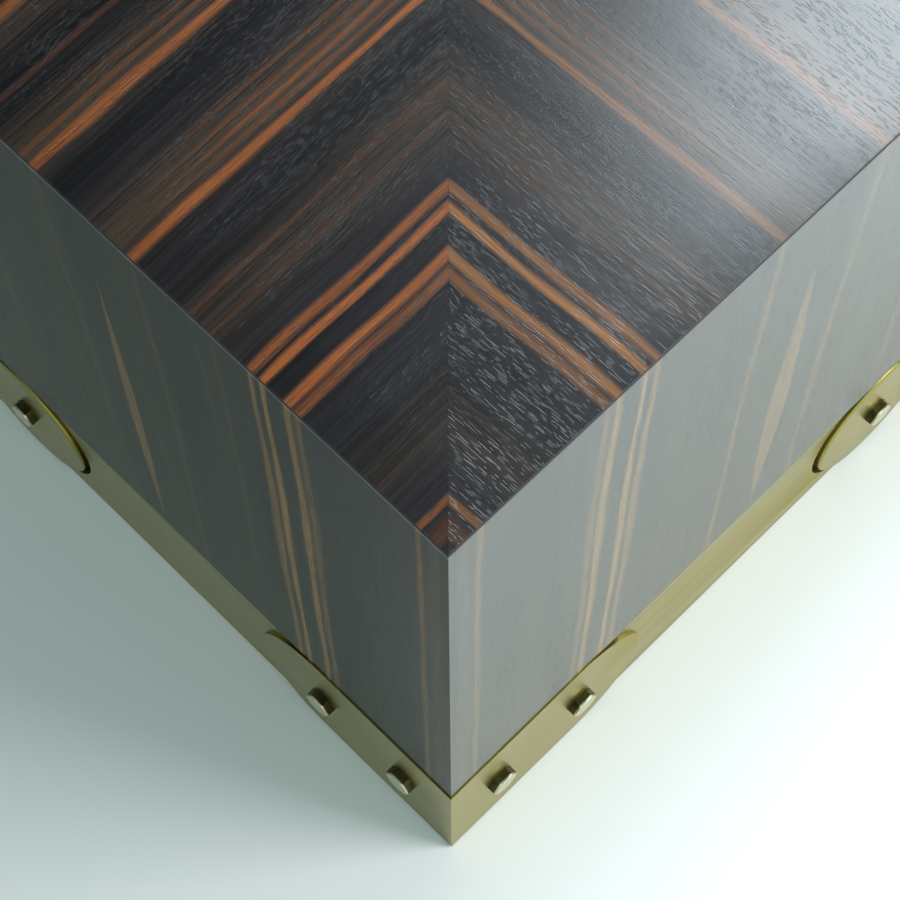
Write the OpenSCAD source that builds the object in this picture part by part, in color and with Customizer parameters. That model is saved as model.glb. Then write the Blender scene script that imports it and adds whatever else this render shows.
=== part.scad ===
// Puzzle box: an ebony-veneered cover that lifts straight off a base with a brass plinth.
// A quarter turn of the round disc in the middle of each side drives a rack bolt
// under a hook on the cover. The hexagonal pegs on the corner pads are sprung push pins.
// Origin: centre of the underside. +Z is up. Sides in turn: right (+X), back, left, front.

/* [Box] */
// Width of the wooden faces, square in plan
box_w = 168; // [130:1:240]
// Overall height, table to top
box_h = 110; // [85:1:180]
// Height of the brass plinth above the table
band_h = 24; // [20:0.5:34]
// Gap between the brass and the table, left by the baize
foot_gap = 0.3; // [0.1:0.1:1]

/* [Cover] */
// Thickness of the veneer
veneer_t = 0.6; // [0.4:0.1:2]
// Thickness of the cover's side boards
core_t = 7; // [6:0.2:12]
// Thickness of the cover's top board
top_t = 6; // [4:0.5:12]
// Thickness of the lining under the top board
lining_t = 0.8; // [0.4:0.1:2]
// Thickness of the hooks that hold the cover down
hook_t = 2; // [1.4:0.1:3]
// Length of a hook's tongue, which a bolt slides over
tongue_l = 8; // [6.5:0.5:10]
// Height of a hook's tongue
tongue_h = 3; // [2:0.2:4]
// Width of a hook's shank
shank_w = 5; // [4:0.5:8]
// Height of a hook above the plinth
hook_rise = 22; // [18:1:30]

/* [Plinth] */
// Thickness of a plinth bar, from its back to the wood's face
bar_t = 5; // [4:0.2:6]
// How far the pads stand out past the wood
pad_proud = 0.2; // [0:0.05:0.4]
// Depth of the milled face between the raised parts
recess_d = 0.6; // [0.3:0.1:1.2]
// Gap around a disc
disc_gap = 0.9; // [0.4:0.1:1.2]
// Margin of brass over and under a disc
disc_margin = 0.45; // [0.3:0.05:2]
// Depth of a disc's pocket
pocket_d = 3; // [2.4:0.1:3.6]
// Thickness of a disc
disc_t = 2.8; // [2:0.1:3.4]
// Width of a fixing lug behind a bar
lug_w = 10; // [8:0.5:14]
// Reach of a fixing lug under the base board
lug_l = 10; // [8:0.5:14]
// Thickness of a fixing lug
lug_t = 2; // [1.5:0.1:3]
// Distance of each lug from the middle of its bar
lug_place = 50; // [46:0.5:54]

/* [Pegs] */
// Width across flats of the hexagonal pegs
hex_af = 3.7; // [3:0.1:6]
// How far the pegs stand out of the pads
peg_out = 1.3; // [1:0.1:2.5]
// Distance between the two pegs on one pad
peg_pitch = 15.2; // [11:0.1:18]
// Travel of a push pin
pin_travel = 0.9; // [0.5:0.1:1]
// Radius of a push pin's stem
stem_r = 1; // [0.7:0.1:1.4]
// Running clearance all round a peg or a shaft
fit_gap = 0.05; // [0.03:0.01:0.08]

/* [Lockwork] */
// Gear module of the pinions and racks
gear_m = 1; // [0.8:0.05:1.2]
// Teeth on a pinion
pinion_teeth = 10; // [10:1:12]
// Radius of a spindle's round shaft
shaft_r = 2.5; // [2:0.1:3]
// Length of a bolt past its spindle, towards its hook
bolt_reach = 25.8; // [24:0.2:30]
// Turn of a disc in degrees
disc_turn = 90; // [60:5:100]

/* [Base] */
// Thickness of the baize under the base
baize_t = 1; // [0.6:0.1:2]
// How far the base board's top lies under the plinth's top
board_drop = 0.5; // [0.3:0.1:2]
// Thickness of the tray's walls
tray_t = 5; // [4:0.5:8]
// Height of the tray's walls
tray_h = 36; // [20:1:45]
// Gap between tray and cover
tray_gap = 0.4; // [0.2:0.1:1]
// Thickness of the tray's lining
felt_t = 1; // [0.6:0.1:2]

/* [Hidden] */
SIDES = ["right", "back", "left", "front"];
PEGS = ["outer_near", "inner_near", "inner_far", "outer_far"];
$fn = 64;

half = box_w / 2;                    // wood face
pad_x = half + pad_proud;            // face of the pads and discs
recess_x = pad_x - recess_d;         // milled face of the bars
board_x = half - bar_t;              // back of the bars, edge of the base board
core_x = half - veneer_t;            // outside of the cover's boards
inside_x = core_x - core_t;          // inside of the cover's boards
band_mid = (band_h + foot_gap) / 2;  // height of the pegs and discs
pad_r = (band_h - foot_gap) / 2;     // round end of a pad
board_top = band_h - board_drop;
core_top = box_h - veneer_t;         // top of the cover's top board
side_top = core_top - top_t;         // top of the cover's side boards

// pegs and push pins
hex_r = hex_af / sqrt(3);
peg_tip_x = pad_x + peg_out;
tip_bevel = 0.25;
hex_l = 3.5;                         // length of a push pin's hexagon
hex_back_x = peg_tip_x - hex_l;
washer_t = 0.4;
socket_x = hex_back_x - pin_travel - washer_t - 0.3;
pin_head_r = stem_r + 0.4;
pin_head_t = 0.6;
pin_head_gap = 0.1;
peg_edge = 1.66;                     // brass left between a corner peg and the back of the mitre
corner_gap = 0.2;                    // air between two pressed pins at a corner
peg1_u = bar_t + max(hex_r + peg_edge,
                     pin_head_r + pin_head_gap + pin_head_t + pin_travel + corner_gap);
peg2_u = peg1_u + peg_pitch;
PEG_T = [-(half - peg1_u), -(half - peg2_u), half - peg2_u, half - peg1_u];
relief_r = pin_head_r + 0.7;
relief_d = pin_head_gap + pin_head_t + pin_travel + 1;

// discs
disc_r = pad_r - disc_margin;
pocket_r = disc_r + disc_gap;
pocket_x = pad_x - pocket_d;
disc_back_x = pad_x - disc_t;
disc_bevel = 0.25;

// hooks and bolts
hook_x = inside_x - hook_t;
slide_gap = 0.1;
mech_x0 = hook_x - 0.4;              // inner side of pinions and bolts
mech_x1 = board_x - 0.6;             // outer side of pinions and bolts
channel_x = mech_x0 - 0.4;
pitch_r = gear_m * pinion_teeth / 2;
pressure = 20;
backlash = 0.12;
tooth_w = PI * gear_m / 2 - backlash;
pinion_add = 0.9 * gear_m;
rack_add = 0.55 * gear_m;
root_gap = 0.2;
pitch_z = band_mid + pitch_r;
rack_z = pitch_z - rack_add;         // underside of a bolt
rack_root_z = pitch_z + pinion_add + root_gap;
bolt_top = rack_root_z + 2.85;
bolt_travel = pitch_r * disc_turn * PI / 180;
bolt_tail = bolt_travel + 2.1 * PI * gear_m;
hook_clear = 0.8;
tongue_t = bolt_reach + hook_clear;
shank_t = tongue_t + tongue_l;
hook_end_t = shank_t + shank_w;
tongue_top = rack_z - 0.6;
hook_bottom = tongue_top - tongue_h;
slot_gap = 0.6;
bearing_d = 7.4;                     // depth of a spindle's bearing in the board
bearing_x = channel_x - bearing_d;

// screws
screw_r = 1.4;
screw_head_r = 2.7;
screw_sink = screw_head_r - screw_r;
lug_screw_l = 9;
hook_screw_l = hook_t + core_t - 2;  // stops 2 mm short of the veneer
pilot_gap = 0.05;
tray_x = inside_x - tray_gap;        // outside of the tray's walls

// Turns what is drawn for the right side to side k
module on_side(k) rotate([0, 0, 90 * k]) children();

// Extrudes an outline drawn in (along the side, height) from x0 out to x1
module outward(x0, x1) translate([x0, 0, 0]) rotate([90, 0, 90]) linear_extrude(x1 - x0) children();

// A round bar along the outward direction
module rod(t, z, r, x0, x1) translate([x0, t, z]) rotate([0, 90, 0]) cylinder(r = r, h = x1 - x0);

// A mitred board along one side, from x0 out to x1
module mitred(x0, x1, z0, z1)
    translate([0, 0, z0]) linear_extrude(z1 - z0) polygon([[x0, -x0], [x1, -x1], [x1, x1], [x0, x0]]);

// A block given by its two corners
module block(a, b) translate(a) cube(b - a);

// A hexagon with its flats level, across flats af
module hexagon(af) circle(r = af / sqrt(3), $fn = 6);

// A hexagonal bar with a turned bevel on its outer end
module hex_bar(t, x0, x1) intersection() {
    outward(x0, x1) translate([t, band_mid]) hexagon(hex_af);
    union() {
        rod(t, band_mid, hex_r + 1, x0 - 1, x1 - tip_bevel);
        translate([x1 - tip_bevel, t, band_mid]) rotate([0, 90, 0])
            cylinder(r1 = hex_r + 0.05, r2 = hex_r + 0.05 - tip_bevel, h = tip_bevel);
    }
}

// A countersunk screw of length l: head at the origin, pointing down -Z. grow makes its hole
module screw(l, grow = 0) {
    translate([0, 0, -screw_sink]) cylinder(r1 = screw_r + grow, r2 = screw_head_r + grow, h = screw_sink);
    translate([0, 0, -l - grow]) cylinder(r = screw_r + grow, h = l + grow - screw_sink + 0.01);
}

// Involute pinion: half the angle of a tooth at radius r, in degrees
base_r = pitch_r * cos(pressure);
tip_r = pitch_r + pinion_add;
root_r = pitch_r - rack_add - root_gap;
function involute(r) = let(a = acos(min(1, base_r / r))) tan(a) * 180 / PI - a;
function tooth_half(r) = tooth_w / (2 * pitch_r) * 180 / PI + involute(pitch_r) - involute(r);
function polar(r, a) = [r * cos(a), r * sin(a)];
flank = [for (i = [0:4]) base_r + (tip_r - base_r) * i / 4];
function tooth(a) = concat(
    [polar(root_r, a - tooth_half(base_r))],
    [for (r = flank) polar(r, a - tooth_half(r))],
    [for (i = [4:-1:0]) polar(flank[i], a + tooth_half(flank[i]))],
    [polar(root_r, a + tooth_half(base_r))]
);
module pinion_outline()
    polygon([for (i = [0:pinion_teeth - 1]) each tooth(90 + 360 / pinion_teeth * i)]);

// ---- base ----

module base_board() color("burlywood") difference() {
    block([-board_x, -board_x, baize_t], [board_x, board_x, board_top]);
    for (k = [0:3]) on_side(k) {
        block([channel_x, -bolt_tail - 0.5, rack_z - slide_gap],
              [board_x + 1, tongue_t, bolt_top + slide_gap]);
        rod(0, band_mid, tip_r + 0.7, channel_x, board_x + 1);
        rod(0, band_mid, shaft_r + fit_gap, bearing_x, board_x);
        block([channel_x, tongue_t - hook_clear, hook_bottom - slot_gap],
              [board_x + 1, hook_end_t + slot_gap, board_top + 1]);
        for (t = PEG_T) rod(t, band_mid, relief_r, board_x - relief_d, board_x + 1);
        for (s = [-1, 1]) {
            block([board_x - lug_l - slide_gap, s * lug_place - lug_w / 2 - slide_gap, 0],
                  [board_x + 1, s * lug_place + lug_w / 2 + slide_gap, baize_t + lug_t + pilot_gap]);
            lug_screw_at(s) screw(lug_screw_l, pilot_gap);
        }
    }
}

module lug_screw_at(s) translate([board_x - lug_l / 2, s * lug_place, baize_t]) rotate([180, 0, 0]) children();

module base_baize() color("darkgreen")
    block([-board_x + 0.5, -board_x + 0.5, 0], [board_x - 0.5, board_x - 0.5, baize_t]);

module tray_lining() color("darkolivegreen") {
    inner = tray_x - tray_t - 0.2;
    block([-inner, -inner, board_top], [inner, inner, board_top + felt_t]);
}

module tray_wall(k) color("peru") on_side(k) difference() {
    mitred(tray_x - tray_t, tray_x, board_top, board_top + tray_h);
    block([hook_x - 0.4, tongue_t - hook_clear, board_top - 1],
          [tray_x + 1, hook_end_t + hook_clear, board_top + tray_h + 1]);
}

module bar_screws() color("silver")
    for (k = [0:3]) on_side(k) for (s = [-1, 1]) lug_screw_at(s) screw(lug_screw_l);

module recess_outline() difference() {
    translate([PEG_T[1], 0]) square([PEG_T[2] - PEG_T[1], band_h]);
    for (t = [PEG_T[1], PEG_T[2]]) translate([t, band_mid]) circle(r = pad_r);
}

module plinth_bar(k) color("darkkhaki") on_side(k) difference() {
    union() {
        mitred(board_x, pad_x, foot_gap, band_h);
        for (s = [-1, 1])
            block([board_x - lug_l, s * lug_place - lug_w / 2, baize_t],
                  [board_x + 0.5, s * lug_place + lug_w / 2, baize_t + lug_t]);
    }
    outward(recess_x, pad_x + 1) recess_outline();
    rod(0, band_mid, pocket_r, pocket_x, pad_x + 1);
    rod(0, band_mid, shaft_r + fit_gap, board_x - 1, pad_x);
    for (t = PEG_T) {
        outward(socket_x, pad_x + 1) translate([t, band_mid]) hexagon(hex_af + 2 * fit_gap);
        rod(t, band_mid, stem_r + fit_gap, board_x - 1, pad_x);
    }
    for (s = [-1, 1]) lug_screw_at(s) screw(lug_screw_l, pilot_gap);
}

module pin_springs() color("silver")
    for (k = [0:3]) on_side(k) for (t = PEG_T) difference() {
        rod(t, band_mid, hex_af / 2 - 0.2, socket_x, socket_x + washer_t);
        rod(t, band_mid, stem_r + 0.2, socket_x - 1, socket_x + 1);
    }

// ---- moving brass ----

module push_pin(k, i) color("goldenrod") on_side(k) union() {
    hex_bar(PEG_T[i], hex_back_x, peg_tip_x);
    rod(PEG_T[i], band_mid, stem_r, board_x - pin_head_gap - pin_head_t, hex_back_x + 0.5);
    rod(PEG_T[i], band_mid, pin_head_r, board_x - pin_head_gap - pin_head_t, board_x - pin_head_gap);
}

module disc(k) color("goldenrod") on_side(k) difference() {
    translate([disc_back_x, 0, band_mid]) rotate([0, 90, 0]) rotate_extrude()
        polygon([[0, 0], [disc_r - disc_bevel, 0], [disc_r, disc_bevel],
                 [disc_r, disc_t - disc_bevel], [disc_r - disc_bevel, disc_t], [0, disc_t]]);
    outward(disc_back_x - 1, pad_x + 1) translate([0, band_mid]) hexagon(hex_af + 0.02);
}

module drive_spindle(k) color("goldenrod") on_side(k) union() {
    hex_bar(0, disc_back_x - 0.1, peg_tip_x);
    rod(0, band_mid, shaft_r, bearing_x + 0.6, disc_back_x);
    outward(mech_x0, mech_x1) translate([0, band_mid]) pinion_outline();
}

module bolt(k) color("gold") on_side(k) difference() {
    block([mech_x0, -bolt_tail, rack_z], [mech_x1, bolt_reach, bolt_top]);
    gap_w = PI * gear_m - tooth_w;
    dip = rack_add + 0.5;
    rise = rack_root_z - pitch_z;
    for (i = [-ceil(bolt_travel / PI / gear_m + 1):1])
        outward(mech_x0 - 1, mech_x1 + 1) translate([i * PI * gear_m, pitch_z])
            polygon([[-gap_w / 2 - dip * tan(pressure), -dip], [gap_w / 2 + dip * tan(pressure), -dip],
                     [gap_w / 2 - rise * tan(pressure), rise], [-gap_w / 2 + rise * tan(pressure), rise]]);
}

// ---- cover ----

module hook_screw_at(z) translate([hook_x, shank_t + shank_w / 2, z]) rotate([0, -90, 0]) children();
HOOK_SCREWS = [band_h + hook_rise * 0.32, band_h + hook_rise * 0.75];

module cover_side(k) color("burlywood") on_side(k) difference() {
    mitred(inside_x, core_x, band_h, side_top);
    for (z = HOOK_SCREWS) hook_screw_at(z) screw(hook_screw_l, pilot_gap);
}

module side_veneer(k) color("saddlebrown") on_side(k) mitred(core_x, half, band_h, core_top);

module top_veneer(k) color("saddlebrown") on_side(k)
    translate([0, 0, core_top]) linear_extrude(veneer_t) polygon([[0, 0], [half, -half], [half, half]]);

module cover_top_board() color("burlywood")
    block([-core_x, -core_x, side_top], [core_x, core_x, core_top]);

module cover_lining() color("darkolivegreen")
    block([-inside_x + 0.3, -inside_x + 0.3, side_top - lining_t], [inside_x - 0.3, inside_x - 0.3, side_top]);

module keeper_hooks() color("goldenrod")
    for (k = [0:3]) on_side(k) difference() {
        outward(hook_x, inside_x) polygon([
            [tongue_t, hook_bottom], [hook_end_t, hook_bottom], [hook_end_t, band_h + hook_rise],
            [shank_t, band_h + hook_rise], [shank_t, tongue_top], [tongue_t, tongue_top]]);
        for (z = HOOK_SCREWS) hook_screw_at(z) screw(hook_screw_l, pilot_gap);
    }

module keeper_screws() color("silver")
    for (k = [0:3]) on_side(k) for (z = HOOK_SCREWS) hook_screw_at(z) screw(hook_screw_l);

base_board();
base_baize();
tray_lining();
bar_screws();
pin_springs();
cover_top_board();
cover_lining();
keeper_hooks();
keeper_screws();
for (k = [0:3]) {
    plinth_bar(k);
    tray_wall(k);
    disc(k);
    drive_spindle(k);
    bolt(k);
    cover_side(k);
    side_veneer(k);
    top_veneer(k);
    for (i = [0:3])
        push_pin(k, i);
}
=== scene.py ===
import math

import bmesh
import bpy
import numpy as np
from mathutils import Matrix, Vector


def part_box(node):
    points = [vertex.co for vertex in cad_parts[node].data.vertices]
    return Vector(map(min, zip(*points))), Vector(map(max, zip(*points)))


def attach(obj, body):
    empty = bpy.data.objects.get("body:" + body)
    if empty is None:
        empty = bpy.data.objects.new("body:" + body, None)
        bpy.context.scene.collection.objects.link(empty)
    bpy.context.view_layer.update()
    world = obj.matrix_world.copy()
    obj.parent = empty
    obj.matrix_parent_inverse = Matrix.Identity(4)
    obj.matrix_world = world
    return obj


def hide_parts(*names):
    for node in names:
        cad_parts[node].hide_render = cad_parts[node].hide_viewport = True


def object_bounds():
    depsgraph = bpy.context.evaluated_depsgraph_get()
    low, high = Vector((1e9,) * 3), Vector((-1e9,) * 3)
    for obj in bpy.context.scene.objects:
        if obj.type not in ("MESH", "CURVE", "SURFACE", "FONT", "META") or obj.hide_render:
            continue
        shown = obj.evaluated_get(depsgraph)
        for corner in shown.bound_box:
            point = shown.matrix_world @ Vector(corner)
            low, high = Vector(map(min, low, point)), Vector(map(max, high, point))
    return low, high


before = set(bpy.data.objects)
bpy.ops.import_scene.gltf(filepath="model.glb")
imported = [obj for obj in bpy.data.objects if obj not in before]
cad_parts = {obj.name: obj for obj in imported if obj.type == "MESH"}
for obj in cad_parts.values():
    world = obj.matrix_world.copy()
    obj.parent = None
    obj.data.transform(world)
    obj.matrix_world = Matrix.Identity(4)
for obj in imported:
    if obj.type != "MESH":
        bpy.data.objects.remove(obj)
cad_low, cad_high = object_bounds()

# ---------------------------------------------------------------- sizes, in metres unless said

MM = 0.001
PER_METRE = 1000.0                                    # millimetres in a metre
SIDES = ["right", "back", "left", "front"]
PEGS = ["outer_near", "inner_near", "inner_far", "outer_far"]

band_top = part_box("plinth_bar_front")[1].z            # top of the brass, foot of the veneer
top_z = cad_high.z                                    # top of the box
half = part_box("top_veneer_front")[1].x                # half the width over the veneer
sheet = top_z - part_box("top_veneer_front")[0].z       # thickness of the veneer
width = 2 * half
peg_tip = cad_high.x / MM                             # how far the pegs reach out, in millimetres
arris = 0.09 * MM                                     # rounding of the veneer's edges
brass_ease = 0.14 * MM                                # rounding of the bars' and bolts' edges
disc_ease = 0.08 * MM                                 # rounding of the discs' edges
peg_ease = 0.10 * MM                                  # rounding of the pegs' and spindles' edges
hook_ease = 0.2 * MM                                  # rounding of the hooks' edges
smooth_below = math.radians(40)                       # veneer edges sharper than this stay sharp
sharp_above = math.radians(32)                        # brass edges sharper than this are rounded


# ---------------------------------------------------------------- shader helpers

class Val:
    """A shader value. Arithmetic on it adds the Math nodes that work it out."""

    def __init__(self, finish, socket):
        self.finish = finish
        self.socket = socket

    def math(self, operation, *others, clamp=False):
        """One Math node on this value and the others."""
        inputs = dict(enumerate((self, *others)))
        node = self.finish.node("ShaderNodeMath", inputs, operation=operation, use_clamp=clamp)
        return Val(self.finish, node.outputs[0])

    def __add__(self, other):
        return self.math("ADD", other)

    def __radd__(self, other):
        return self.math("ADD", other)

    def __sub__(self, other):
        return self.math("SUBTRACT", other)

    def __rsub__(self, other):
        return self.finish.value(other).math("SUBTRACT", self)

    def __mul__(self, other):
        return self.math("MULTIPLY", other)

    def __rmul__(self, other):
        return self.math("MULTIPLY", other)

    def __truediv__(self, other):
        return self.math("DIVIDE", other)

    def abs(self):
        return self.math("ABSOLUTE")

    def floor(self):
        return self.math("FLOOR")

    def fract(self):
        return self.math("FRACT")

    def sin(self):
        return self.math("SINE")

    def clip(self):
        """Held between 0 and 1."""
        return self.math("ADD", 0.0, clamp=True)

    def least(self, other):
        return self.math("MINIMUM", other)

    def most(self, other):
        return self.math("MAXIMUM", other)

    def step(self, low, high, to_low=0.0, to_high=1.0):
        """Rises smoothly from to_low at low to to_high at high."""
        node = self.finish.node("ShaderNodeMapRange",
                                {"Value": self, "From Min": low, "From Max": high,
                                 "To Min": to_low, "To Max": to_high},
                                interpolation_type="SMOOTHSTEP")
        return Val(self.finish, node.outputs[0])


class Finish:
    """A material under construction: one Principled shader and the nodes that feed it."""

    def __init__(self, name, **constants):
        self.material = bpy.data.materials.new(name)
        self.material.use_nodes = True
        self.tree = self.material.node_tree
        self.shader = next(n for n in self.tree.nodes if n.type == "BSDF_PRINCIPLED")
        for socket, value in constants.items():
            self.put(socket.replace("_", " "), value)

    def node(self, kind, inputs=None, **settings):
        """Adds a node: its settings first, then the values or links of its sockets."""
        node = self.tree.nodes.new(kind)
        for key, value in settings.items():
            setattr(node, key, value)
        for key, value in (inputs or {}).items():
            if isinstance(value, Val):
                self.tree.links.new(value.socket, node.inputs[key])
            else:
                node.inputs[key].default_value = value
        return node

    def put(self, socket, value):
        """Sets or links a socket of the shader."""
        if isinstance(value, Val):
            self.tree.links.new(value.socket, self.shader.inputs[socket])
        elif isinstance(value, tuple) and len(value) == 3 and socket != "Normal":
            self.shader.inputs[socket].default_value = (*value, 1.0)
        else:
            self.shader.inputs[socket].default_value = value

    def value(self, number):
        """A plain number as the first term of an expression."""
        node = self.node("ShaderNodeMath", {0: number, 1: 0.0}, operation="ADD")
        return Val(self, node.outputs[0])

    def vector(self, x=0.0, y=0.0, z=0.0):
        """Three values or numbers as one vector."""
        return Val(self, self.node("ShaderNodeCombineXYZ", {0: x, 1: y, 2: z}).outputs[0])

    def split(self, vector):
        """The x, y and z of a vector."""
        node = self.node("ShaderNodeSeparateXYZ", {0: vector})
        return tuple(Val(self, s) for s in node.outputs)

    def place(self):
        """The point on the object, in millimetres: x, y, z."""
        node = self.node("ShaderNodeTexCoord")
        x, y, z = self.split(Val(self, node.outputs["Object"]))
        return x * PER_METRE, y * PER_METRE, z * PER_METRE

    def attribute(self, name):
        """A number that the piece carries under this name."""
        return Val(self, self.node("ShaderNodeAttribute", attribute_name=name).outputs["Fac"])

    def noise(self, x=0.0, y=0.0, z=0.0, detail=2.0, rough=0.5):
        """Noise between 0 and 1, one swell per unit of x, y and z."""
        inputs = {"Vector": self.vector(x, y, z), "Scale": 1.0, "Detail": detail, "Roughness": rough}
        node = self.node("ShaderNodeTexNoise", inputs)
        return Val(self, node.outputs[0])

    def chance(self, x=0.0, y=0.0, z=0.0):
        """A random number for each whole x, y, z."""
        node = self.node("ShaderNodeTexWhiteNoise", {"Vector": self.vector(x, y, z)})
        return Val(self, node.outputs["Value"])

    def mix(self, share, first, second):
        """first where share is 0, second where it is 1."""
        node = self.node("ShaderNodeMix", data_type="RGBA")
        for index, item in ((0, share), (6, first), (7, second)):
            if isinstance(item, Val):
                self.tree.links.new(item.socket, node.inputs[index])
            else:
                node.inputs[index].default_value = (*item, 1.0) if index else item
        return Val(self, node.outputs[2])

    def shade(self, colour, factor):
        """colour times a plain factor."""
        node = self.node("ShaderNodeVectorMath", operation="SCALE")
        self.tree.links.new(colour.socket, node.inputs[0])
        self.tree.links.new(factor.socket, node.inputs["Scale"])
        return Val(self, node.outputs[0])

    def bump(self, *layers):
        """Sets the normal from height layers: (height 0 to 1, depth in metres)."""
        normal = None
        for height, depth in layers:
            inputs = {"Height": height, "Distance": depth, "Strength": 1.0}
            if normal is not None:
                inputs["Normal"] = normal
            normal = Val(self, self.node("ShaderNodeBump", inputs).outputs[0])
        self.put("Normal", normal)


# ---------------------------------------------------------------- finishes

# Streaks of the ebony, in millimetres across the grain from the leaf's first corner:
# (centre, half width, strength, share of red-brown)
STREAKS = [
    (2.2, 1.3, 0.30, 0.90), (4.2, 0.60, 0.65, 0.45), (21.5, 0.75, 0.75, 0.60), (23.1, 0.75, 1.00, 0.20),
    (26.8, 0.70, 1.00, 0.10), (28.6, 0.80, 0.90, 0.40), (34.6, 0.50, 0.14, 0.60), (37.7, 0.70, 0.12, 0.60),
    (46.9, 0.65, 0.95, 0.25), (62.4, 0.75, 0.90, 0.35), (64.4, 0.35, 0.35, 0.60), (71.0, 0.50, 0.15, 0.70),
    (79.3, 0.70, 0.70, 0.40), (92.0, 0.65, 0.85, 0.25), (94.1, 0.60, 0.90, 0.20), (107.0, 1.00, 0.35, 0.75),
    (118.4, 0.65, 0.90, 0.25), (120.3, 0.70, 0.60, 0.55), (134.5, 0.50, 0.45, 0.50),
    (147.8, 0.75, 0.90, 0.25), (150.0, 0.50, 0.70, 0.45), (161.5, 0.80, 0.50, 0.40),
]
# Fine strands that come up only some way in from the arris
STRANDS = [
    (48.6, 0.40, 0.45, 0.70), (49.9, 0.45, 0.60, 0.50), (51.3, 0.35, 0.40, 0.60), (53.0, 0.40, 0.30, 0.80),
    (65.8, 0.40, 0.30, 0.80), (96.5, 0.40, 0.40, 0.60), (122.6, 0.45, 0.45, 0.60),
]
# Brown ground that lies about the streaks: (centre, half width, strength)
GROUNDS = [
    (11.0, 5.0, 0.50), (36.0, 6.5, 0.65), (50.0, 6.5, 1.00), (64.5, 5.5, 0.85), (79.0, 7.0, 0.80),
    (99.0, 7.0, 0.60), (119.0, 6.0, 0.70), (140.0, 9.0, 0.60), (160.0, 7.0, 0.60),
]
STRAND_RISE = 28.0               # how far in from the arris the fine strands reach their full strength
FULL_UP_TO, FADED_FROM = 30.0, 42.0   # the outer streaks weaken between these places on the leaf
SPINDLE_FOOT, SPINDLE_LENGTH = 25.0, 70.0   # height of the spindle-shaped streak's foot, and its length
PORE_SHARE = 0.36                # part of the cells that hold an open pore

# Depths of the relief
swell_depth = 0.03 * MM          # slow swell of the veneer
ripple_depth = 0.005 * MM        # waviness of the lacquer
pore_depth = 0.011 * MM
rub_depth = 0.008 * MM           # rubbing marks on brushed brass
speck_depth = 0.0025 * MM        # specks in the brass


class Leaf:
    """A point's place on its leaf of veneer, in millimetres: along counts across the grain from the
    leaf's first corner, rise goes with the grain, up the side and on over the top, and inward is
    what rise has past the arris. The leaf also holds the waver of the grain. The last
    coordinate of a noise only sets it apart from the others, or one leaf from the next."""

    def __init__(self, f):
        u, w, _ = f.split(Val(f, f.node("ShaderNodeUVMap", uv_map="leaf").outputs[0]))
        along = u * PER_METRE
        rise = w * PER_METRE
        number = f.attribute("leaf_no")
        inward = rise - top_z / MM
        # how far it is to the nearer of the leaf's two long edges; on the top, the diagonal seam is
        # where that is as much as inward, and the leaf's lean dies out towards it
        nearest = along.least(width / MM - along).most(0.01)
        off_seam = 1.0 - (inward / nearest).clip()

        lean = nearest * off_seam * f.attribute("leaf_lean")
        swing = (f.noise(rise * 0.016, along * 0.010, 3.1, detail=1.0) - 0.5) * 3.0 * along.step(0.0, 20.0)
        sway = (f.noise(rise * 0.07, along * 0.06, 8.0, detail=1.0) - 0.5) * 0.8
        smooth = along + lean + swing + sway
        self.lines = f.noise(smooth * 2.3, rise * 0.022, 20.0, detail=3.0, rough=0.6)
        self.hairs = f.noise(smooth * 8.5, rise * 0.07, number + 40.0, detail=2.0)
        self.grain = smooth + (self.lines - 0.5) * 0.35 + (self.hairs - 0.5) * 0.10
        self.along, self.rise, self.inward = along, rise, inward
        self.number, self.nearest, self.smooth = number, nearest, smooth


def dark_wood(f, leaf, ground, brown):
    """The wood between the streaks: a near-black ground in fine lines, browner where GROUNDS says."""
    share = f.value(0.0)
    for centre, reach, strength in GROUNDS:
        share = share.most((leaf.grain - centre).abs().step(reach, 0.0) * strength)
    share = share * leaf.lines.step(0.28, 0.62, 0.15, 1.0) * leaf.hairs.step(0.25, 0.65, 0.5, 1.1)
    broad = f.noise(leaf.smooth * 0.13, leaf.rise * 0.010, 60.0, detail=1.0)
    tone = broad * 0.5 + leaf.lines * 0.8 + leaf.hairs * 0.35 - 0.35
    dark = tuple(0.55 * c for c in ground)
    pale = (ground[0] * 2.1, ground[1] * 1.9, ground[2] * 1.9)
    wood = f.mix(tone.step(0.25, 0.75), dark, pale)
    return f.mix((share * 0.95).clip(), wood, brown)


def spindle(f, leaf):
    """A long spindle-shaped streak, half a sine wave wide on each side of its line. It stands in the
    side alone and dies out below the arris."""
    phase = (leaf.rise - SPINDLE_FOOT) * (math.pi / SPINDLE_LENGTH)
    belly = phase.sin().most(0.0) * f.attribute("eye_reach")
    outside = (leaf.along - f.attribute("eye_place") + (leaf.lines - 0.5) * 0.5).abs() - belly
    head = SPINDLE_FOOT + SPINDLE_LENGTH
    return outside.step(0.25, -0.45) * leaf.rise.step(head + 1.0, head - 2.0) * 0.6


def streaks(f, leaf):
    """How strongly the orange streaks and the red-brown ones show: two values."""
    pulse = f.noise(leaf.rise * 0.045, leaf.along * 0.05, 71.0, detail=2.0) * 1.3 + 0.30
    inner = leaf.inward.step(0.0, STRAND_RISE)
    orange = f.value(0.0)
    red = f.value(0.0)
    for centre, reach, strength, share in STREAKS + STRANDS:
        band = ((leaf.grain - centre).abs() / pulse).step(reach * 1.35, reach * 0.20) * strength
        if (centre, reach, strength, share) in STRANDS:
            band = band * inner
        orange = orange.most(band * (1.0 - share))
        red = red.most(band * share)
    fade = leaf.along.step(FULL_UP_TO, FADED_FROM, 1.0, 0.0).most(f.attribute("leaf_fade"))
    return (orange * fade).most(spindle(f, leaf)), red * fade


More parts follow.
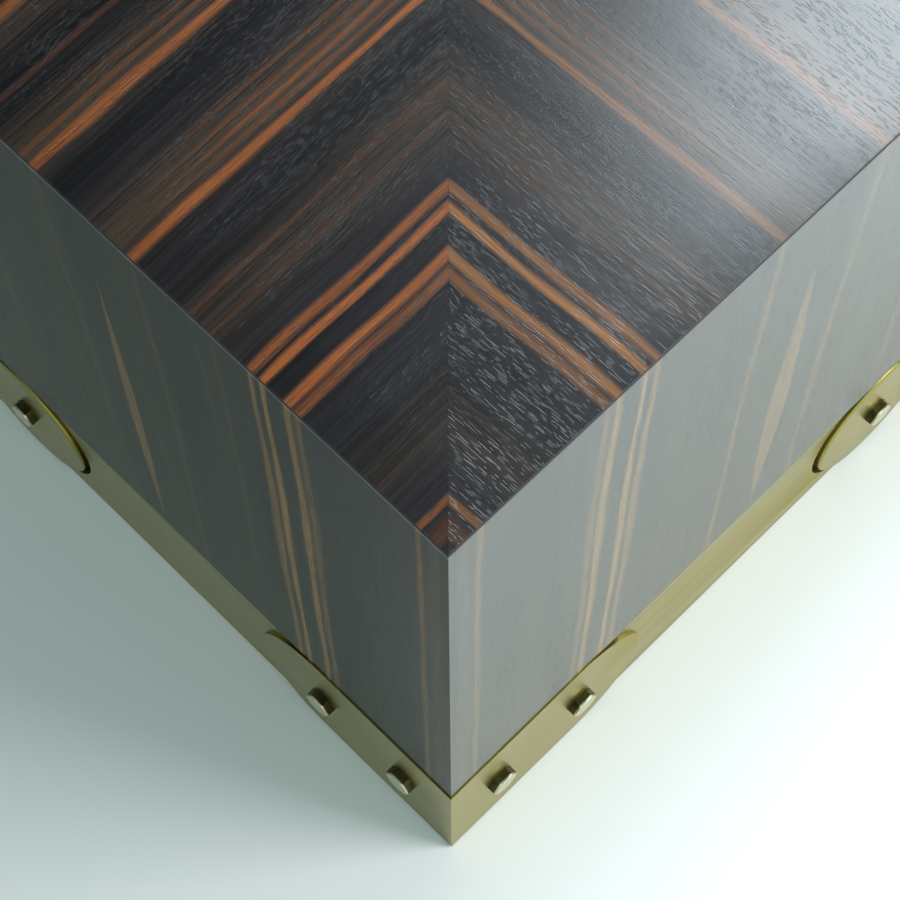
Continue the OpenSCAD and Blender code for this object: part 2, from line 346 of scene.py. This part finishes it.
def dashes(f, leaf, across, length, share, seed):
    """Open pores: 1 inside short straight dashes that lie along the grain, one or none in each cell
    across wide and length long; share is the part of the cells that has one."""
    lane = leaf.smooth / across + seed
    column = lane.floor()
    run = leaf.rise / length + f.chance(column, leaf.number, seed) * 7.0
    row = run.floor()
    pick = f.chance(column, row, leaf.number + (seed + 3.0))
    aside = (lane.fract() - 0.5 + (pick - 0.5) * 0.35).abs()
    reach = f.chance(column, row, seed + 8.0) * 0.33 + 0.10
    lengthwise = (run.fract() - 0.5).abs() - reach
    return aside.step(0.27, 0.13) * lengthwise.step(0.03, -0.07) * pick.step(1.0 - share, 1.01 - share)


def open_pores(f, leaf, pitted):
    """Two sizes of pore, crowded in some stretches of the grain and sparse in others."""
    share = PORE_SHARE * pitted
    crowd = f.noise(leaf.smooth * 0.35, leaf.rise * 0.03, leaf.number + 80.0, detail=1.0)
    large = dashes(f, leaf, across=0.26, length=2.4, share=share, seed=0.0)
    small = dashes(f, leaf, across=0.19, length=1.4, share=share, seed=5.0)
    return large.most(small) * crowd.step(0.30, 0.65, 0.2, 1.0)


def ebony(name, ground, brown, red, streak, gold, amber, gloss, pitted):
    """Macassar ebony veneer under satin lacquer. Nearly everything follows the leaf's own
    coordinates, so the streaks run on over the arris, and neighbouring leaves match like the pages
    of a book along the diagonals of the top. Each leaf's orange lies between streak and gold."""
    f = Finish(name, Specular_IOR_Level=gloss, Specular_Tint=amber)
    leaf = Leaf(f)
    orange, russet = streaks(f, leaf)
    fibres = leaf.hairs.step(0.25, 0.68, 0.40, 1.05) * leaf.lines.step(0.20, 0.55, 0.60, 1.0)
    colour = f.mix((russet * 1.4 * fibres).clip(), dark_wood(f, leaf, ground, brown), red)
    bright = f.mix(f.attribute("leaf_gold"), streak, gold)
    colour = f.mix((orange * 1.15 * fibres).clip(), colour, bright)

    pores = open_pores(f, leaf, pitted)
    ripple = f.noise(leaf.smooth * 1.5, leaf.rise * 0.09, leaf.number + 5.0, detail=3.0, rough=0.6)
    swell = f.noise(leaf.smooth * 0.12, leaf.rise * 0.05, leaf.number + 15.0, detail=1.0)
    # the hairline joint on the diagonal, and a thin dark line along the arris that is painted shade, where
    # the lacquer is also made rougher
    seam = (leaf.inward - leaf.nearest).abs().step(0.10, 0.03) * leaf.inward.step(0.2, 0.4)
    edge = leaf.inward.abs().step(0.26, 0.10)
    # the pores and the joint darken the wood's own colour; the line along the arris darkens it as painted
    # shade
    dark_marks_and_arris_shade = (pores * 0.60).most(seam * 0.45).most(edge * 0.85)
    f.put("Base Color", f.shade(colour, 1.0 - dark_marks_and_arris_shade))
    f.put("Roughness", (ripple * 0.06 + 0.185 + pores * 0.05 + edge * 0.3).clip())
    f.bump((swell, swell_depth), (ripple, ripple_depth), (1.0 - pores, pore_depth))
    return f.material


def brass(name, base, rough=0.30, brushed=0.25):
    """Satin brass: faint clouding of the surface and very fine rubbing marks along its length.
    brushed is how deep the marks are, 1 being full depth."""
    f = Finish(name, Metallic=1.0)
    x, y, z = f.place()
    cloud = f.noise(x * 0.05, y * 0.05, z * 0.08, detail=3.0)
    speck = f.noise(x * 0.9, y * 0.9, z * 0.9, detail=4.0, rough=0.6)
    marks = f.noise(x * 0.6 + y * 0.6, z * 14.0, x * 0.3 - y * 0.3, detail=3.0, rough=0.65)
    dull = tuple(0.78 * c for c in base)
    colour = f.mix((cloud * 0.9 + speck * 0.25 - 0.1).clip(), base, dull)
    f.put("Base Color", colour)
    f.put("Roughness", (cloud * 0.08 + marks * 0.06 + speck * 0.05 + rough - 0.08).clip())
    f.bump((marks, rub_depth * brushed), (speck, speck_depth))
    return f.material


def peg_finish(name):
    """Hexagonal brass pegs with a dark base colour, partly tarnish and partly painted shade for the dark
    reflections on their flats, and a painted highlight towards their outer ends, where they are also
    smoother.
    """
    f = Finish(name, Metallic=1.0)
    x, y, z = f.place()
    speck = f.noise(x * 1.1, y * 1.1, z * 1.1, detail=3.0)
    outward = x.abs().most(y.abs())
    # a painted highlight on the pegs' outer ends, its border blotched by the specks
    painted_tip_highlight = (outward + (speck - 0.5) * 0.12).step(peg_tip - 0.34, peg_tip - 0.16)
    # dark brass: partly tarnish, partly painted shade for the dark reflections on the flats
    tarnish_and_painted_shade = f.mix(speck, (0.040, 0.036, 0.015), (0.075, 0.066, 0.026))
    f.put("Base Color", f.mix(painted_tip_highlight, tarnish_and_painted_shade, (0.56, 0.53, 0.33)))
    f.put("Roughness", (speck * 0.08 + 0.20 - painted_tip_highlight * 0.08).clip())
    return f.material


def plain_wood(name, dark, light, axis, scale=1.0):
    """Close-grained board: soft growth bands along one axis, fine pores and a sanded surface."""
    f = Finish(name)
    place = dict(zip("xyz", f.place()))
    lengthwise = place[axis] * 0.02
    rest = [place[a] * 0.45 * scale for a in "xyz" if a != axis]
    warp = f.noise(lengthwise, rest[0] * 0.2, rest[1] * 0.2, detail=1.0) * 3.0
    bands = f.noise(lengthwise * 0.5, rest[0] + warp, rest[1] + warp, detail=3.0)
    fine = f.noise(lengthwise * 4.0, rest[0] * 8.0, rest[1] * 8.0, detail=2.0)
    colour = f.mix((bands * 0.9 + fine * 0.5 - 0.2).clip(), dark, light)
    f.put("Base Color", colour)
    f.put("Roughness", (fine * 0.15 + 0.48).clip())
    f.bump((fine, 0.03 * MM), (bands, 0.02 * MM))
    return f.material


def felt(name, colour, nap=1.0):
    """Pressed wool: tangled fibres in two sizes, a soft sheen and cloudy wear."""
    f = Finish(name, Roughness=0.95, Sheen_Weight=0.35, Sheen_Roughness=0.5, Specular_IOR_Level=0.15)
    x, y, z = f.place()
    bend = f.noise(x * 0.7, y * 0.7, z * 0.7, detail=1.0) * 2.0
    fibres = f.noise(x * 5.0 + bend, y * 1.3, z * 3.0, detail=4.0, rough=0.7)
    crossed = f.noise(x * 1.2, y * 5.0 - bend, z * 3.0 + 7.0, detail=4.0, rough=0.7)
    cloud = f.noise(x * 0.04, y * 0.04, z * 0.04, detail=2.0)
    tuft = fibres.most(crossed)
    dark = tuple(0.55 * c for c in colour)
    bright = tuple(min(1.0, 1.35 * c) for c in colour)
    f.put("Base Color", f.mix((tuft * 1.2 + cloud * 0.5 - 0.45).clip(), dark, bright))
    f.bump((tuft, 0.22 * MM * nap), (cloud, 0.1 * MM))
    return f.material


def steel(name):
    """Bright spring and screw steel with turned marks."""
    f = Finish(name, Metallic=1.0)
    x, y, z = f.place()
    marks = f.noise(x * 3.0, y * 3.0, z * 3.0, detail=3.0)
    f.put("Base Color", f.mix(marks, (0.50, 0.50, 0.49), (0.66, 0.66, 0.64)))
    f.put("Roughness", marks * 0.15 + 0.22)
    return f.material


def pale_floor():
    """Plain pale card, very slightly cloudy."""
    f = Finish("pale_floor", Roughness=0.55, Specular_IOR_Level=0.3)
    x, y, _ = f.place()
    cloud = f.noise(x * 0.004, y * 0.004, 0.0, detail=2.0)
    f.put("Base Color", f.mix(cloud, (0.77, 0.80, 0.80), (0.80, 0.83, 0.83)))
    return f.material


def facing(side):
    """Front and back take the lit copy of the lacquer and brass finishes, and left and right take a darker,
    shaded copy: painted light and shade on one finish.
    """
    return "lit_front_back" if side in ("front", "back") else "shaded_left_right"


SIDE_WOOD = {"streak": (0.23, 0.115, 0.022), "gold": (0.25, 0.135, 0.035),
             "red": (0.075, 0.042, 0.014), "brown": (0.022, 0.018, 0.008), "pitted": 0.75}
# The side ebony comes as a lit copy for front and back and a shaded copy for left and right. The shaded
# copy has a darker ground, amber-tinted and much weaker reflections: painted shade on one veneer.
ebony_side = {
    "lit_front_back": ebony("ebony_side_lit", ground=(0.016, 0.017, 0.012), amber=(0.97, 1.0, 0.87),
                        gloss=0.75, **SIDE_WOOD),
    "shaded_left_right": ebony("ebony_side_shaded", ground=(0.009, 0.009, 0.004), amber=(1.0, 0.93, 0.60),
                        gloss=0.06, **SIDE_WOOD),
}
ebony_top = ebony("ebony_top", ground=(0.0072, 0.0068, 0.0078), brown=(0.043, 0.028, 0.017),
                  red=(0.105, 0.040, 0.016), streak=(0.27, 0.078, 0.019), gold=(0.225, 0.095, 0.026),
                  amber=(1.0, 1.0, 1.0), gloss=0.5, pitted=1.0)
# The brass also comes as a lit copy for front and back and a darker, shaded copy for left and right:
# painted shade on one brass.
bar_brass = {"lit_front_back": brass("plinth_brass_lit", (0.385, 0.318, 0.068)),
             "shaded_left_right": brass("plinth_brass_shaded", (0.295, 0.243, 0.048))}
disc_brass = {"lit_front_back": brass("disc_brass_lit", (0.395, 0.328, 0.076)),
              "shaded_left_right": brass("disc_brass_shaded", (0.312, 0.258, 0.055))}
peg_brass = peg_finish("peg_brass")
lock_brass = brass("lock_brass", (0.70, 0.55, 0.27), rough=0.24, brushed=1.0)
screw_brass = brass("screw_brass", (0.66, 0.52, 0.26), rough=0.22)
spring_steel = steel("spring_steel")
core_x = plain_wood("core_wood_x", (0.42, 0.27, 0.15), (0.60, 0.42, 0.26), "x")
core_y = plain_wood("core_wood_y", (0.42, 0.27, 0.15), (0.60, 0.42, 0.26), "y")
board_wood = plain_wood("board_wood", (0.38, 0.24, 0.13), (0.55, 0.38, 0.22), "x", scale=0.7)
tray_x = plain_wood("tray_wood_x", (0.085, 0.036, 0.018), (0.20, 0.095, 0.045), "x", scale=1.4)
tray_y = plain_wood("tray_wood_y", (0.085, 0.036, 0.018), (0.20, 0.095, 0.045), "y", scale=1.4)
baize = felt("baize_felt", (0.030, 0.105, 0.060))
suede = felt("lining_suede", (0.060, 0.105, 0.078), nap=0.6)


# ---------------------------------------------------------------- mesh helpers

SAME_POINT = 1e-7                # metres; nearer points than this are one


def turn(points, side):
    """Turns points drawn for the right-hand side about Z to another side."""
    quarter = math.pi / 2 * SIDES.index(side)
    c, s = round(math.cos(quarter)), round(math.sin(quarter))
    x, y, z = points[..., 0], points[..., 1], points[..., 2]
    return np.stack([c * x - s * y, s * x + c * y, z], axis=-1)


def add_piece(name, vertices, faces, material):
    """Makes an object at the origin from points in place, with its faces turned outwards."""
    mesh = bpy.data.meshes.new(name)
    mesh.from_pydata(np.asarray(vertices, float).tolist(), [], [list(map(int, face)) for face in faces])
    mesh.validate()
    work = bmesh.new()
    work.from_mesh(mesh)
    bmesh.ops.remove_doubles(work, verts=work.verts, dist=SAME_POINT)
    bmesh.ops.recalc_face_normals(work, faces=work.faces)
    work.to_mesh(mesh)
    work.free()
    mesh.materials.append(material)
    obj = bpy.data.objects.new(name, mesh)
    bpy.context.scene.collection.objects.link(obj)
    soften(obj, smooth_below)
    return obj


def soften(obj, angle):
    """Shades the mesh smooth, with edges sharper than the angle left sharp."""
    mesh = obj.data
    mesh.polygons.foreach_set("use_smooth", np.ones(len(mesh.polygons), bool))
    mesh.set_sharp_from_angle(angle=angle)


def sweep(stations):
    """A closed surface: every closed section in stations joined to the next, both ends capped.
    stations is an array (how many sections, points in a section, 3)."""
    count, around = stations.shape[:2]
    index = np.arange(count * around).reshape(count, around)
    following = np.roll(index, -1, axis=1)
    quads = np.stack([index[:-1], following[:-1], following[1:], index[1:]], axis=-1).reshape(-1, 4)
    faces = list(quads) + [index[0], index[-1][::-1]]
    return stations.reshape(-1, 3), faces


def arc(centre, radius, start, end, steps=5):
    """Points on an arc in the plane, from start to end in degrees."""
    a = np.radians(np.linspace(start, end, steps))
    return np.stack([centre[0] + radius * np.cos(a), centre[1] + radius * np.sin(a)], axis=-1)


# ---------------------------------------------------------------- veneer

def leaf_coordinates(obj, side, **character):
    """Gives a sheet its leaf coordinates: across the grain from the leaf's first corner, and with the
    grain up the side and on over the top. Opposite sides start at opposite corners, so that
    neighbouring leaves match at every corner of the box."""
    mesh = obj.data
    points = np.empty(len(mesh.vertices) * 3)
    mesh.vertices.foreach_get("co", points)
    points = points.reshape(-1, 3)
    loops = np.empty(len(mesh.loops), int)
    mesh.loops.foreach_get("vertex_index", loops)
    x, y, z = points.T
    across, outward = {"front": (half + x, -y), "back": (half - x, y),
                       "left": (half + y, -x), "right": (half - y, x)}[side]
    rise = z + np.maximum(0.0, half - outward) * (z > top_z - 0.5 * sheet)
    uv = mesh.uv_layers.new(name="leaf")
    uv.data.foreach_set("uv", np.stack([across, rise], axis=-1)[loops].ravel())
    for key, number in character.items():
        layer = mesh.attributes.new(key, "FLOAT", "POINT")
        layer.data.foreach_set("value", np.full(len(mesh.vertices), float(number)))


def side_sheet(side):
    """A mitred upright sheet. Its plan section is a long trapezium whose two outer corners are eighth
    turns of a circle, and the section is carried straight up."""
    inner = half - sheet
    r = arris
    right_end = arc((half - r, half - r), r, 0, 45)
    left_end = arc((half - r, r - half), r, -45, 0)
    plan = np.concatenate([[[inner, -inner]], left_end, right_end, [[inner, inner]]])
    heights = np.linspace(band_top, top_z - sheet, 9)
    stations = np.stack([np.column_stack([plan, np.full(len(plan), z)]) for z in heights])
    vertices, faces = sweep(turn(stations, side))
    return add_piece("veneer_side_" + side, vertices, faces, ebony_side[facing(side)])


def top_sheet(side):
    """A mitred top triangle. Its section, from the outer edge in to the middle of the box, has the
    arris as a quarter circle. Each point of it is drawn out along the side to both diagonals, as far
    each way as it is from the middle, so that the sheet narrows to a point."""
    r = arris
    low = top_z - sheet
    edge = arc((half - r, top_z - r), r, 0, 90, 7)                 # (out from the middle, height)
    inward = np.linspace(half - r, 0.0, 12)[1:]
    upper = np.concatenate([[[half, low]], edge, np.column_stack([inward, np.full(len(inward), top_z)])])
    lower = np.column_stack([upper[:, 0], np.full(len(upper), low)])
    out, z = np.concatenate([upper, lower[::-1]]).T
    rows = np.stack([np.column_stack([out, -out, z]), np.column_stack([out, out, z])], axis=1)
    index = np.arange(2 * len(rows)).reshape(-1, 2)
    skin = np.stack([index[:-1, 0], index[:-1, 1], index[1:, 1], index[1:, 0]], axis=-1)
    above = np.arange(len(upper) - 1)
    below = len(rows) - 1 - above
    mitres = [np.stack([index[above, end], index[above + 1, end], index[below - 1, end], index[below, end]],
                       axis=-1) for end in (0, 1)]
    faces = np.concatenate([skin, *mitres])
    points = turn(rows, side).reshape(-1, 3)
    return clean_piece("veneer_top_" + side, points, faces, ebony_top)


def clean_piece(name, points, faces, material):
    """As add_piece, with the faces that shrink to nothing at a point taken out."""
    obj = add_piece(name, points, faces, material)
    work = bmesh.new()
    work.from_mesh(obj.data)
    bmesh.ops.dissolve_degenerate(work, dist=SAME_POINT, edges=work.edges)
    bmesh.ops.recalc_face_normals(work, faces=work.faces)
    work.to_mesh(obj.data)
    work.free()
    soften(obj, smooth_below)
    return obj


# How each leaf differs: its lean across the grain, how golden its streaks are, and where its
# spindle-shaped streak stands and half its width, in millimetres
LEAVES = {
    "right": {"leaf_no": 0, "leaf_lean": 0.01, "leaf_gold": 0.4, "eye_place": 61.0, "eye_reach": 1.4},
    "back": {"leaf_no": 1, "leaf_lean": 0.03, "leaf_gold": 0.2, "eye_place": 52.0, "eye_reach": 1.7},
    "left": {"leaf_no": 2, "leaf_lean": 0.045, "leaf_gold": 0.0, "eye_place": 53.4, "eye_reach": 1.1},
    "front": {"leaf_no": 3, "leaf_lean": -0.015, "leaf_gold": 0.9, "eye_place": 55.8, "eye_reach": 1.9},
}
# What is left of each leaf's outer streaks, on the top sheet and on the side sheet
FADES = {"right": (0.8, 0.5), "back": (1.0, 0.4), "left": (1.0, 0.12), "front": (0.65, 0.5)}
SHEETS = [(top_sheet, "top_veneer_"), (side_sheet, "side_veneer_")]
for side in SIDES:
    for (make, node), fade in zip(SHEETS, FADES[side]):
        leaf = make(side)
        leaf_coordinates(leaf, side, leaf_fade=fade, **LEAVES[side])
        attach(leaf, "cover")
        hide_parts(node + side)


# ---------------------------------------------------------------- brass with eased edges

FACET_GAP = 2e-6                 # metres; corners of the solids' triangles nearer than this are one
FLAT_WITHIN = math.radians(0.6)  # triangles that meet flatter than this become one face


def eased(node, name, body, material, ease=brass_ease):
    """A machined part with its sharp edges rubbed down: the part's own shape, its facets merged, and
    every sharp edge rounded over by ease."""
    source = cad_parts[node]
    mesh = source.data.copy()
    mesh.name = name
    mesh.materials.clear()
    mesh.materials.append(material)
    work = bmesh.new()
    work.from_mesh(mesh)
    bmesh.ops.remove_doubles(work, verts=work.verts, dist=FACET_GAP)
    bmesh.ops.dissolve_limit(work, angle_limit=FLAT_WITHIN, verts=work.verts, edges=work.edges)
    for face in work.faces:
        face.material_index = 0
    work.to_mesh(mesh)
    work.free()
    obj = bpy.data.objects.new(name, mesh)
    bpy.context.scene.collection.objects.link(obj)
    bevel = obj.modifiers.new("rubbed_edges", "BEVEL")
    bevel.width = ease
    bevel.segments = 2
    bevel.limit_method = "ANGLE"
    bevel.angle_limit = sharp_above
    bevel.harden_normals = True
    bevel.use_clamp_overlap = True
    soften(obj, sharp_above)
    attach(obj, body)
    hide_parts(node)
    return obj


for side in SIDES:
    knob = "knob_" + side
    eased("plinth_bar_" + side, "bar_" + side, "base", bar_brass[facing(side)])
    eased("disc_" + side, "knob_disc_" + side, knob, disc_brass[facing(side)], ease=disc_ease)
    eased("drive_spindle_" + side, "spindle_" + side, knob, peg_brass, ease=peg_ease)
    eased("bolt_" + side, "rack_bolt_" + side, "bolt_" + side, lock_brass)
    for peg in PEGS:
        pin = "push_pin_" + side + "_" + peg
        eased(pin, "peg_" + side + "_" + peg, pin, peg_brass, ease=peg_ease)
eased("keeper_hooks", "cover_hooks", "cover", lock_brass, ease=hook_ease)


# ---------------------------------------------------------------- carried-over parts

def finish_node(node, material):
    """Gives a carried-over part its finish."""
    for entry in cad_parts[node].material_slots:
        entry.material = material


finish_node("base_board", board_wood)
finish_node("base_baize", baize)
finish_node("bar_screws", screw_brass)
finish_node("keeper_screws", screw_brass)
finish_node("pin_springs", spring_steel)
finish_node("cover_top_board", core_x)
finish_node("tray_lining", suede)
finish_node("cover_lining", suede)
for side in SIDES:
    runs_in_y = side in ("right", "left")
    finish_node("cover_side_" + side, core_y if runs_in_y else core_x)
    finish_node("tray_wall_" + side, tray_y if runs_in_y else tray_x)


# ---------------------------------------------------------------- floor, lights, camera

def floor():
    """A square of pale card, reach metres out from the box each way."""
    reach = 3.0
    corners = [(-reach, -reach, 0.0), (reach, -reach, 0.0), (reach, reach, 0.0), (-reach, reach, 0.0)]
    mesh = bpy.data.meshes.new("floor")
    mesh.from_pydata(corners, [], [(0, 1, 2, 3)])
    mesh.materials.append(pale_floor())
    obj = bpy.data.objects.new("floor", mesh)
    bpy.context.scene.collection.objects.link(obj)


AIM = Vector((0.0, 0.0, 0.05))   # where the lights point


def softbox(name, azimuth, elevation, distance, size, radiance, colour):
    """An area light aimed at the box. Azimuth counts from +X towards +Y, in degrees."""
    a, e = math.radians(azimuth), math.radians(elevation)
    away = Vector((math.cos(a) * math.cos(e), math.sin(a) * math.cos(e), math.sin(e)))
    light = bpy.data.lights.new(name, "AREA")
    light.shape = "RECTANGLE"
    light.size, light.size_y = size
    light.energy = radiance * math.pi * size[0] * size[1]
    light.color = colour
    obj = bpy.data.objects.new(name, light)
    obj.location = AIM + away * distance
    obj.rotation_euler = away.to_track_quat("Z", "Y").to_euler()
    obj.visible_camera = False
    bpy.context.scene.collection.objects.link(obj)


def surroundings(towards, dim, bright, colour):
    """A soft grey room, lighter on the side towards which the vector points."""
    world = bpy.data.worlds.new("room")
    world.use_nodes = True
    bpy.context.scene.world = world
    tree = world.node_tree
    place = tree.nodes.new("ShaderNodeTexCoord")
    facing = tree.nodes.new("ShaderNodeVectorMath")
    facing.operation = "DOT_PRODUCT"
    facing.inputs[1].default_value = Vector(towards).normalized()
    tree.links.new(place.outputs["Generated"], facing.inputs[0])
    spread = tree.nodes.new("ShaderNodeMapRange")
    spread.interpolation_type = "SMOOTHSTEP"
    for socket, value in (("From Min", -0.2), ("From Max", 1.0), ("To Min", dim), ("To Max", bright)):
        spread.inputs[socket].default_value = value
    tree.links.new(facing.outputs["Value"], spread.inputs["Value"])
    background = tree.nodes["Background"]
    background.inputs["Color"].default_value = (*colour, 1.0)
    tree.links.new(spread.outputs[0], background.inputs["Strength"])


def camera():
    """Looks steeply down on the near corner, with a long lens."""
    yaw, pitch, roll = (math.radians(a) for a in (45.4595, 66.751, 0.4943))
    ahead = Vector((math.cos(yaw) * math.cos(pitch), math.sin(yaw) * math.cos(pitch), -math.sin(pitch)))
    right = Vector((math.sin(yaw), -math.cos(yaw), 0.0))
    down = ahead.cross(right)
    right, down = (math.cos(roll) * right + math.sin(roll) * down,
                   -math.sin(roll) * right + math.cos(roll) * down)
    # the near top corner lies here in the camera's own axes (right, down, ahead), in box heights
    to_corner = Vector((-0.0016, 0.0931, 2.1685)) * top_z
    corner = Vector((-half, -half, top_z))
    place = corner - (to_corner.x * right + to_corner.y * down + to_corner.z * ahead)
    data = bpy.data.cameras.new("camera")
    data.sensor_width = 36.0
    data.lens = 100.06
    data.clip_start = 0.01
    data.clip_end = 20.0
    obj = bpy.data.objects.new("camera", data)
    axes = Matrix((right, -down, -ahead)).transposed()
    obj.matrix_world = Matrix.Translation(place) @ axes.to_4x4()
    bpy.context.scene.collection.objects.link(obj)
    bpy.context.scene.camera = obj


floor()
camera()
softbox("key", azimuth=-58, elevation=38, distance=1.0, size=(0.45, 0.45), radiance=11,
        colour=(1.0, 0.94, 0.97))
softbox("overhead", azimuth=10, elevation=47, distance=0.9, size=(0.33, 0.63), radiance=18.5,
        colour=(0.84, 0.94, 1.0))
surroundings(towards=(-0.35, -0.9, 0.45), dim=0.012, bright=1.2, colour=(0.79, 0.99, 0.99))
bpy.context.scene.view_settings.view_transform = "Standard"
